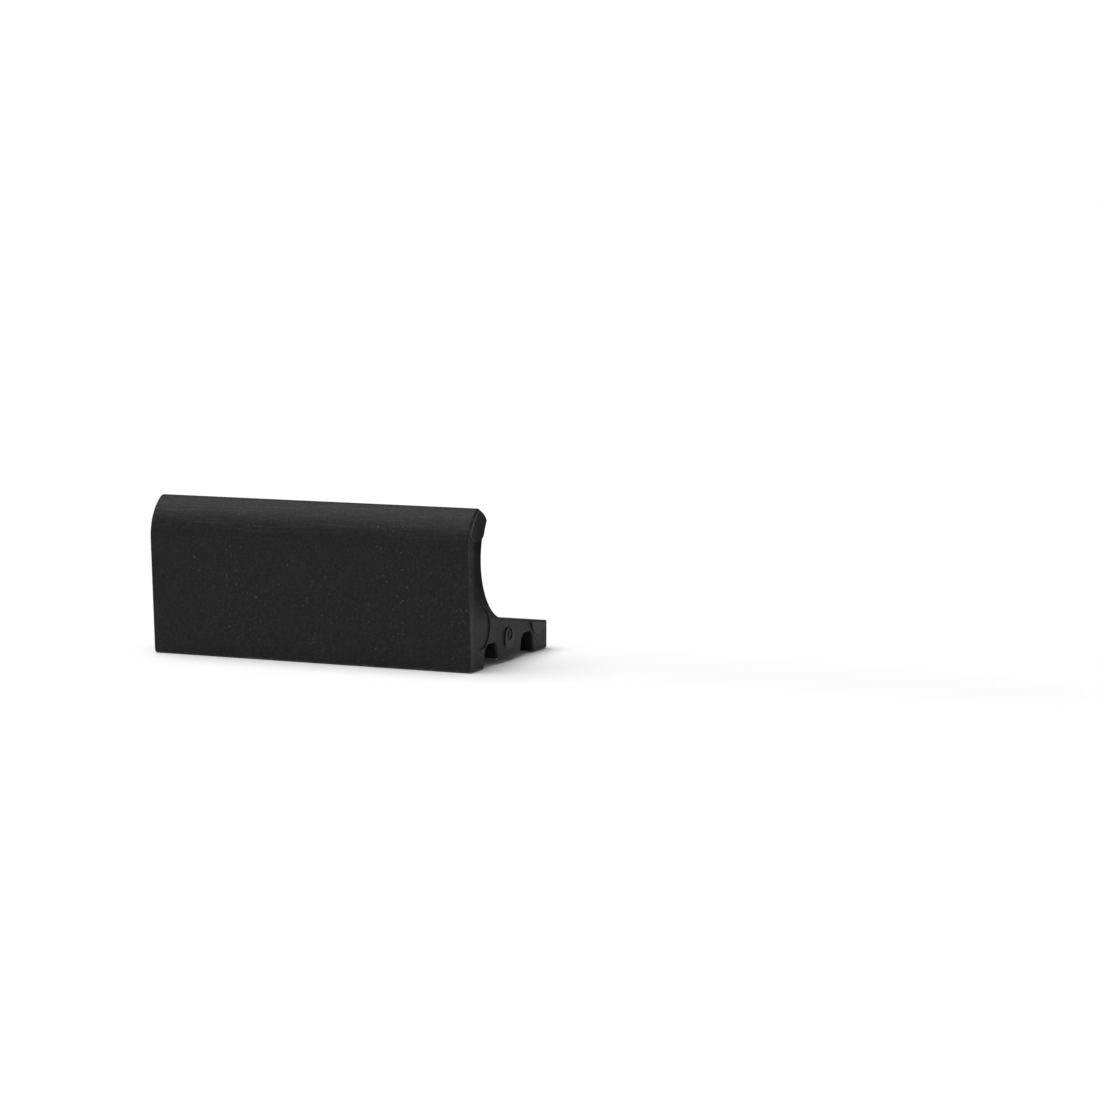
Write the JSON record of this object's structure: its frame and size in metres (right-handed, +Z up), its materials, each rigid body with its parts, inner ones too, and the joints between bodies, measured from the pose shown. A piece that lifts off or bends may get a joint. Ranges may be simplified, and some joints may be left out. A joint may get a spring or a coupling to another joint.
{
  "type": "chair floor glide",
  "caption": "Long plastic floor glide with a hooked outer skirt, a cradle for a round tube, channelled runners underneath and self-tapping fixing screws.",
  "frame": {"origin": "on the floor, under the middle of the whole part", "axes": "+X along the tube and the part's length, -Y towards the skirt on the outer side of the chair, +Z up from the floor"},
  "size_m": [0.0676, 0.0376, 0.0305],
  "materials": {
    "black_plastic": "fine spark-eroded matte grain",
    "screw_steel": "zinc-plated, satin"
  },
  "bodies": {
    "glide": {"glide_body": "black_plastic"},
    "screw_left": {"fixing_screw_left": "screw_steel"},
    "screw_right": {"fixing_screw_right": "screw_steel"}
  },
  "joints": [
    {"name": "screw_left_unscrew", "type": "slide", "parent": "glide", "child": "screw_left", "axis": [0, 0, -1], "range_m": [0, 0.018]},
    {"name": "screw_right_unscrew", "type": "slide", "parent": "glide", "child": "screw_right", "axis": [0, 0, -1], "range_m": [0, 0.018]}
  ]
}
